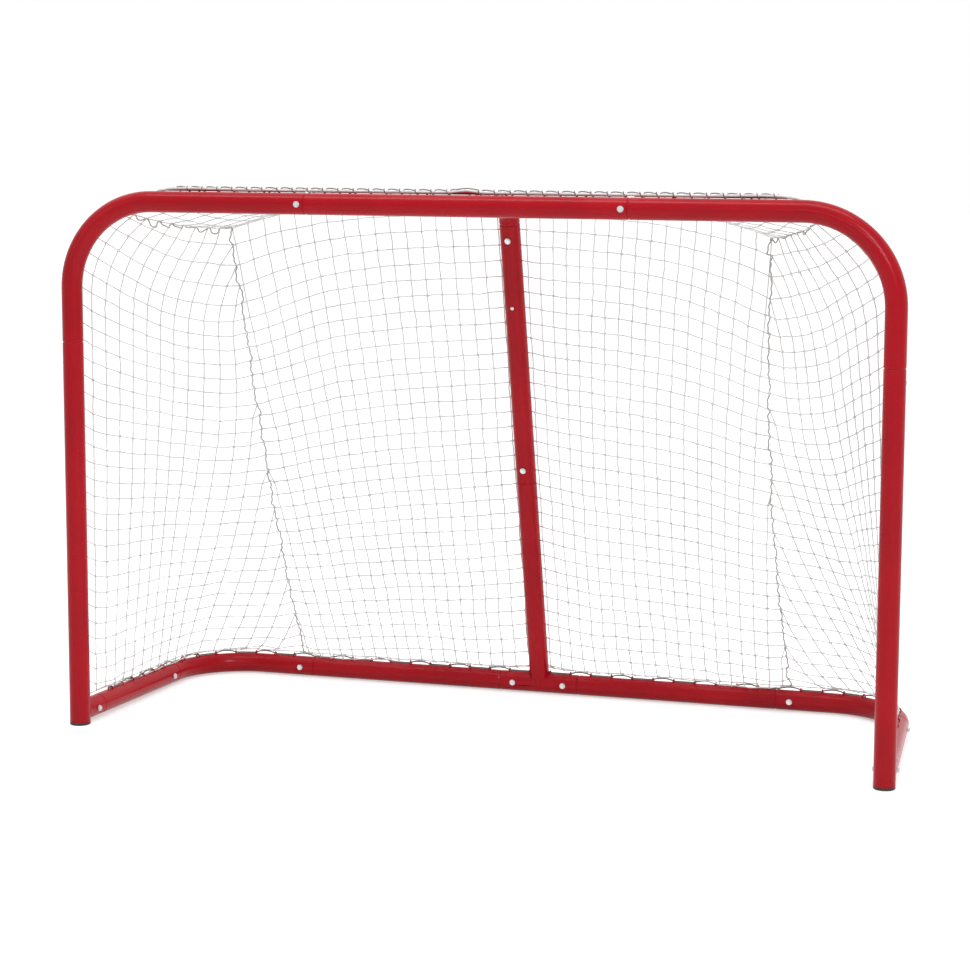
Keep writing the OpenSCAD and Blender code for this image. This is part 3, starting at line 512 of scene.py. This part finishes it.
def post_level(s, j):
    """How far down the post row j meets it: the first rows run into the corner, the last into the foot."""
    arc = ARC_R * CROWN[s]
    k = j - FIRST_POST_ROW
    down = k * POST_ROW[s] - POST_ROW_CLOSER[s] * k * abs(k)
    return float(np.clip((down + arc - CORNER_TIE) / (arc + POST_RUN), 0, 1))


def back_slack(t, level):
    """How far a knot of the back hangs forward and down from its sheet, between the support and the seams."""
    across = (1 - abs(t)) * min(1, 5 * abs(t)) * math.sin(math.pi * min(1, abs(t) * 1.5))
    return np.array([0, 0.026, 0.006]) * (4 * level * (1 - level) * across)


def back_panel(net):
    """Rows and columns of the back; columns start at the seams on their way down."""
    n, half, spare, seam_gap = 48, COLS // 2, 2, 0.985
    sheet = coons(n, n, lambda u: rear_edge(2 * u - 1), lambda u: foot((2 * u - 1) * SEAM_C),
                  lambda v: seam(-1, v), lambda v: seam(1, v))
    rows = [[net.knot(("rear", c), rear_edge(c / half), False) for c in range(-half, half + 1)]]
    cols = {c: [rows[0][c + half]] for c in range(-half, half + 1)}
    for j in range(1, ROWS + 1):
        v = j / ROWS
        row = []
        for c in range(-half - spare, half + spare + 1):
            t = c / half * (1 - GATHER * v)
            if abs(t) > seam_gap:
                continue
            level = min(1.0, v + (seam_level(j) - v) * abs(t) ** 3.5)
            p = sheet_point(sheet, (t + 1) / 2, level) - back_slack(t, level)
            i = net.knot(("back", c, j), p, j == ROWS)
            row.append(i)
            cols.setdefault(c, []).append(i)
        ends = [net.knot(("seam", s, j), seam(s, seam_level(j)), j == ROWS) for s in (-1, 1)]
        rows.append([ends[0]] + row + [ends[1]])
    for c in cols:
        if abs(c) > half:
            first = next(j for j in range(1, ROWS + 1) if ("back", c, j) in net.index)
            if first > 1:
                cols[c].insert(0, net.index[("seam", 1 if c > 0 else -1, first - 1)])
    return rows, list(cols.values())


def top_panel(net):
    """Rows and columns of the top, which shares its rear knots with the back and its end knots with the sides."""
    sag = 0.010
    sheet = coons(COLS, TOP_ROWS, lambda u: bar_edge((2 * u - 1) * edge_end(-1 if u < 0.5 else 1)),
                  lambda u: rear_edge(2 * u - 1), lambda v: side_top(-1, v), lambda v: side_top(1, v))

    def key(i, j):
        if j == TOP_ROWS:
            return "rear", i - COLS // 2
        if i in (0, COLS):
            return "crown", -1 if i == 0 else 1, j
        return "top", i, j

    rows = []
    for j in range(TOP_ROWS + 1):
        v = j / TOP_ROWS
        for i in range(COLS + 1):
            t = abs(2 * i / COLS - 1)
            sheet[j, i][2] -= sag * 4 * v * (1 - v) * min(1, 3 * t) * (1 - t * t)
        rows.append([net.knot(key(i, j), sheet[j, i], j == 0) for i in range(COLS + 1)])
    return rows, [list(col) for col in zip(*rows)]


ROW_TURN = {-1: 1.5, 1: 1.15}  # how soon a side's rows come to the height of the seam's knots


def side_slack(s, u, level):
    """How far a side's knot hangs in and down from its sheet; the right side has a slack fold near the seam."""
    inward, down = 0.013, 0.0
    if s > 0:
        inward = 0.020 + 0.018 * math.exp(-((u - 0.70) / 0.12) ** 2)
        down = 0.016 * math.exp(-((u - 0.62) / 0.16) ** 2) * math.sin(math.pi * level)
    return np.array([s * inward * math.sin(math.pi * u) * math.sin(math.pi * level) ** 0.8, 0, down])


def side_panel(net, s):
    """Rows and columns of a side, from the post; columns start at the crown cord and down the seam."""
    n = 60
    sheet = coons(n, n, lambda u: side_top(s, u),
                  lambda u: foot(s * (BASE_LEN - FRONT_Y + (SEAM_C - BASE_LEN + FRONT_Y) * u)),
                  lambda v: post_edge(s, v), lambda v: seam(s, v))
    keys = [("crown", s, c) for c in range(TOP_ROWS)] + [("rear", s * (COLS // 2))]
    rows = [[net.knot(key, side_top(s, c / TOP_ROWS), c == 0) for c, key in enumerate(keys)]]
    cols = {c: [rows[0][c]] for c in range(TOP_ROWS)}
    for j in range(1, ROWS + 1):
        top_level, end_level = post_level(s, j), seam_level(j)
        a, b = slide_along(sheet[:, 0], top_level), slide_along(sheet[:, n], end_level)
        width = float(np.linalg.norm(a - b))
        row = []
        for c in range(DEEP + 1):
            u = c * MESH * (1 - 0.16 * math.exp(-j / 4)) / width
            if u > 1 - 0.35 * MESH / width:
                break
            level = top_level + (end_level - top_level) * smooth(u * ROW_TURN[s])
            p = sheet_point(sheet, u, level) - side_slack(s, u, level)
            row.append(net.knot((s, c, j), p, c == 0 or j == ROWS))
            cols.setdefault(c, []).append(row[-1])
        rows.append(row + [net.knot(("seam", s, j), b, j == ROWS)])
    for c, line in cols.items():
        first = next(j for j in range(ROWS + 1) if c < len(rows[j]) and rows[j][c] == line[0])
        if first > 1:
            line.insert(0, net.index[("seam", s, first - 1)])
    return rows, list(cols.values())


def weave_net():
    """The net with its four panels, settled; edges that carry a cord are held near their places."""
    net = Net()
    panels = {"back": back_panel(net), "top": top_panel(net)}
    panels.update({"left": side_panel(net, -1), "right": side_panel(net, 1)})
    for rows, cols in panels.values():
        for line in rows + cols:
            for a, b in zip(line, line[1:]):
                net.bar(a, b, 1 + 0.012 * rng.standard_normal())
    target = np.array(net.p)
    firm = np.array([0.10 if k[0] in ("seam", "rear", "crown") else 0.0 for k in net.index])[:, None]
    net.settle(160, lambda p: keep_off(p) * (1 - firm) + target * firm)
    return net, panels


def bar_points(p, ids, wobble):
    """Route of a strand through its knots, with a slack point in the middle of every bar."""
    q = p[ids]
    mid = (q[1:] + q[:-1]) / 2 + wobble[: len(ids) - 1]
    out = np.empty((2 * len(ids) - 1, 3))
    out[0::2], out[1::2] = q, mid
    return out


def knot_lumps(name, points, r):
    """Small knots where strands cross, each a lump of 20 faces."""
    t = (1 + 5 ** 0.5) / 2
    v = np.array([(-1, t, 0), (1, t, 0), (-1, -t, 0), (1, -t, 0), (0, -1, t), (0, 1, t), (0, -1, -t), (0, 1, -t),
                  (t, 0, -1), (t, 0, 1), (-t, 0, -1), (-t, 0, 1)], float)
    v /= np.linalg.norm(v[0])
    f = np.array([(0, 11, 5), (0, 5, 1), (0, 1, 7), (0, 7, 10), (0, 10, 11), (1, 5, 9), (5, 11, 4), (11, 10, 2),
                  (10, 7, 6), (7, 1, 8), (3, 9, 4), (3, 4, 2), (3, 2, 6), (3, 6, 8), (3, 8, 9), (4, 9, 5),
                  (2, 4, 11), (6, 2, 10), (8, 6, 7), (9, 8, 1)])
    n = len(points)
    size = r * (1 + 0.15 * rng.standard_normal((n, 1, 1)))
    stretch = np.array([1.25, 1.0, 1.25])
    verts = (points[:, None, :] + v[None] * stretch * size).reshape(-1, 3)
    faces = (f[None] + (np.arange(n) * len(v))[:, None, None]).reshape(-1, 3)
    add_mesh(name, verts, faces.tolist(), MATS["net_twine"])


def net_panels(net, panels):
    cad = {"back": "net_back", "top": "net_top", "left": "net_side_left", "right": "net_side_right"}
    for tag, (rows, cols) in panels.items():
        wobble = rng.standard_normal((80, 3)) * 0.0008
        routes = [bar_points(net.p, line, np.roll(wobble, k * 7, 0))
                  for k, line in enumerate(rows + cols) if len(line) > 1]
        o = strand_mesh("twine_" + tag, routes, TWINE, 5, MATS["net_twine"])
        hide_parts(cad[tag])
        knot_lumps("knots_" + tag, net.p[sorted({i for line in rows for i in line})], TWINE * 1.9)


def wound(route, amp, turns):
    """A cord's route that winds round a line of points."""
    route = np.asarray(route, float)
    seg = np.linalg.norm(np.diff(route, axis=0), axis=1)
    s = np.concatenate([[0], np.cumsum(seg)])
    n = int(turns * 8) + 1
    q = np.linspace(0, s[-1], n)
    line = np.stack([np.interp(q, s, route[:, k]) for k in range(3)], 1)
    t = np.gradient(line, axis=0)
    t /= np.linalg.norm(t, axis=1, keepdims=True)
    a = np.cross(t, np.array([0.3, 0.2, 0.9]))
    a /= np.linalg.norm(a, axis=1, keepdims=True)
    b = np.cross(t, a)
    ang = np.linspace(0, 2 * np.pi * turns, n)
    return line + amp * (a * np.cos(ang)[:, None] + b * np.sin(ang)[:, None])


def fine_line(route, step):
    """A smooth line through points (Catmull-Rom), cut about every step."""
    P = np.asarray(route, float)
    P = np.vstack([2 * P[0] - P[1], P, 2 * P[-1] - P[-2]])
    out = []
    for i in range(1, len(P) - 2):
        a, b, c, d = P[i - 1:i + 3]
        n = max(1, int(np.linalg.norm(c - b) / step))
        for k in range(n):
            t = k / n
            out.append(0.5 * (2 * b + (c - a) * t + (2 * a - 5 * b + 4 * c - d) * t * t
                              + (3 * b - a - 3 * c + d) * t ** 3))
    out.append(P[-2])
    return np.array(out)


def scalloped(knots, sag):
    """Route through knots that hangs a little slack between each two."""
    out = [knots[0]]
    for a, b in zip(knots, knots[1:]):
        along = (b - a) / max(np.linalg.norm(b - a), 1e-9)
        side = np.cross(along, rng.standard_normal(3))
        side = side / max(np.linalg.norm(side), 1e-9) - np.array([0, 0, 0.9])
        drop = sag * (0.5 + rng.random())
        out += [a * 0.72 + b * 0.28 + side * drop * 0.7, a * 0.35 + b * 0.65 + side * drop, b]
    return np.array(out)


def seam_cords(net):
    """A cord on each side along the crown and down the seam, slacker near the net's upper corner."""
    for s, tag in ((-1, "left"), (1, "right")):
        crown = [net.index[("crown", s, j)] for j in range(TOP_ROWS)]
        down = [net.index[("rear", s * (COLS // 2))]] + [net.index[("seam", s, j)] for j in range(1, ROWS + 1)]
        ends = scalloped(net.p[crown + down[:3]], 0.0075)
        line = fine_line(np.vstack([ends, scalloped(net.p[down[2:]], 0.0038)[1:]]), 0.004)
        length = np.linalg.norm(np.diff(line, axis=0), axis=1).sum()
        route = wound(line, 0.0010, length / 0.021)
        o = strand_mesh("seam_" + tag, [route], 0.0017, 7, MATS["seam_cord"])
        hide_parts("seam_cord_" + tag)


def by_rod(x, across, out):
    """A point beside the lacing rod, x along it; it rises over the brace in the middle."""
    lift = 0.0045 * math.exp(-(x / 0.026) ** 2)
    c, s = math.cos(ROD_TILT), math.sin(ROD_TILT)
    return at(x, ROD_Y + across * s + out * c, ROD_Z - across * c + out * s + lift)


def border():
    """Border cord: up one post, round the corner, along the rod and down the other post."""
    back, beside_rod = 0.0273, (-0.0058, -0.002)

    def half(s):
        post = [at(s * POST_X, back, z) for z in np.linspace(0.09, ARC_Z, 9)]
        corner = [at(s * (ARC_X + ARC_R * math.cos(R(a))), back, ARC_Z + ARC_R * math.sin(R(a)))
                  for a in range(10, 86, 10)]
        rod = [by_rod(s * x, *beside_rod) for x in (0.70, 0.5, 0.25, 0.06, 0.036, 0.018)]
        return post + corner + [at(s * 0.753, 0.0283, 1.228)] + rod

    line = fine_line(half(-1) + [by_rod(0, *beside_rod)] + half(1)[::-1], 0.012)
    o = strand_mesh("border_rope", [line], 0.0029, 10, MATS["net_twine"])
    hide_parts("border_cord")


def bar_lacing():
    """Lace along the rod: a long run over the front at each mesh, then one quick turn behind rod and cord."""
    turns, ring = 2 * int(ROD_RUN / MESH), 16
    pts = []
    for i in range(turns * ring + 1):
        f = i % ring / ring
        x = (i // ring + f - turns / 2) * MESH
        near = abs(x) < 0.8 * MESH
        a = math.pi / 2 + (0 if near else 2 * math.pi * smooth((f - 0.68) / 0.32) + 0.3 * math.sin(2 * math.pi * f))
        pts.append(by_rod(x, -0.0030 + 0.0078 * math.cos(a), 0.0052 * math.sin(a)))
    o = strand_mesh("bar_lacing", [fine_line(pts, 0.003)], 0.0013, 8, MATS["lace_cord"])
    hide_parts("crossbar_lace")


def base_lacing():
    """Lace over the eyes of the base; it stops short of the posts."""
    n = int((BASE_LEN - 0.090) / PITCH)
    pts = []
    for c in np.arange(-(n - 0.35) * PITCH, (n - 0.35) * PITCH, PITCH / 8):
        x, y, z = base_at(c)
        pts.append(at(x, y, z + lace_height(c)))
    o = strand_mesh("base_lacing", [np.array(pts)], 0.0018, 8, MATS["lace_cord"])
    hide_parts("base_lace")


# ================= stage =================
def seen_ray(t, strength):
    """A strength for what the lens and mirror-like surfaces see, none for the light on the goal."""
    path = node(t, "ShaderNodeLightPath")
    both = math_node(t, "MAXIMUM", path.outputs["Is Camera Ray"],
                     math_node(t, "MAXIMUM", path.outputs["Is Glossy Ray"], path.outputs["Is Transmission Ray"]))
    return math_node(t, "MULTIPLY", both, strength)


def studio():
    """Floor, pale surroundings that brighten towards the back, and four softboxes."""
    bpy.ops.mesh.primitive_plane_add(size=60, location=(0, 0, -0.0005))
    floor = bpy.context.object
    floor.name = "studio_floor"
    m, t, p = material("studio_floor")
    p.inputs["Base Color"].default_value = (0.80, 0.80, 0.80, 1)
    p.inputs["Roughness"].default_value = 0.6
    p.inputs["Specular IOR Level"].default_value = 0.2
    floor.data.materials.append(m)
    t.links.new(seen_ray(t, 0.42), p.inputs["Emission Strength"])
    p.inputs["Emission Color"].default_value = (1, 1, 1, 1)
    world = bpy.data.worlds.new("studio")
    bpy.context.scene.world = world
    world.use_nodes = True
    w = world.node_tree
    way = node(w, "ShaderNodeSeparateXYZ", {0: node(w, "ShaderNodeTexCoord").outputs["Generated"]})
    room = ramp(w, math_node(w, "ADD", math_node(w, "MULTIPLY", way.outputs["Y"], 0.5), 0.5),
                [(0.20, (0.15, 0.15, 0.15)), (0.55, (0.36, 0.36, 0.36)), (0.80, (1, 1, 1))])
    lift = ramp(w, way.outputs["Z"], [(0.10, (0, 0, 0)), (0.85, (0.55, 0.55, 0.55))])
    sky = mix_color(w, 1.0, room.outputs["Color"], lift.outputs["Color"], "ADD")
    color = mix_color(w, seen_ray(w, 1.0), sky, (1, 1, 1, 1))
    back = w.nodes["Background"]
    w.links.new(color, back.inputs["Color"])
    back.inputs["Strength"].default_value = 1.0

    def softbox(name, loc, aim, size, energy):
        d = bpy.data.lights.new(name, "AREA")
        d.shape, d.size, d.size_y, d.energy = "RECTANGLE", size[0], size[1], energy
        o = bpy.data.objects.new(name, d)
        bpy.context.scene.collection.objects.link(o)
        o.location = loc
        o.rotation_euler = (Vector(aim) - Vector(loc)).to_track_quat("-Z", "Y").to_euler()

    softbox("key", (3.4, -4.4, 3.6), (0, 0, 0.6), (0.9, 2.6), 92)
    softbox("fill", (-3.6, -3.4, 2.2), (0, 0, 0.6), (1.0, 2.0), 7)
    softbox("top", (0, -0.9, 4.4), (0, 0, 0.4), (4.6, 0.8), 70)
    softbox("strip", (1.2, -5.2, 2.6), (0, 0, 1.2), (3.4, 0.08), 20)


def camera():
    """The camera, at chest height, in front of the goal and to its right."""
    side, focal, middle = 971, 2499.0, 455.7    # pixels: the render's longer side, focal length, optical centre
    sensor = 36                                 # millimetres
    cam = bpy.data.cameras.new("camera")
    o = bpy.data.objects.new("camera", cam)
    bpy.context.scene.collection.objects.link(o)
    yaw, pitch, roll = R(-16.83), R(-7.854), R(-0.189)
    fwd = Vector((math.sin(yaw) * math.cos(pitch), math.cos(yaw) * math.cos(pitch), math.sin(pitch)))
    right = Vector((math.cos(yaw), -math.sin(yaw), 0))
    down = -right.cross(fwd)
    r2 = right * math.cos(roll) + down * math.sin(roll)
    d2 = -right * math.sin(roll) + down * math.cos(roll)
    rot = Matrix((r2, -d2, -fwd)).transposed()
    o.matrix_world = Matrix.Translation((1.621, -5.196 + MOUTH, 1.425)) @ rot.to_4x4()
    cam.sensor_width = sensor
    cam.lens = focal * sensor / side
    cam.shift_y = (middle - side / 2) / side
    bpy.context.scene.camera = o
    s = bpy.context.scene
    s.view_settings.view_transform = "Standard"
    s.cycles.use_denoising = True


dress_frame()
net, panels = weave_net()
net_panels(net, panels)
seam_cords(net)
border()
bar_lacing()
base_lacing()
studio()
camera()
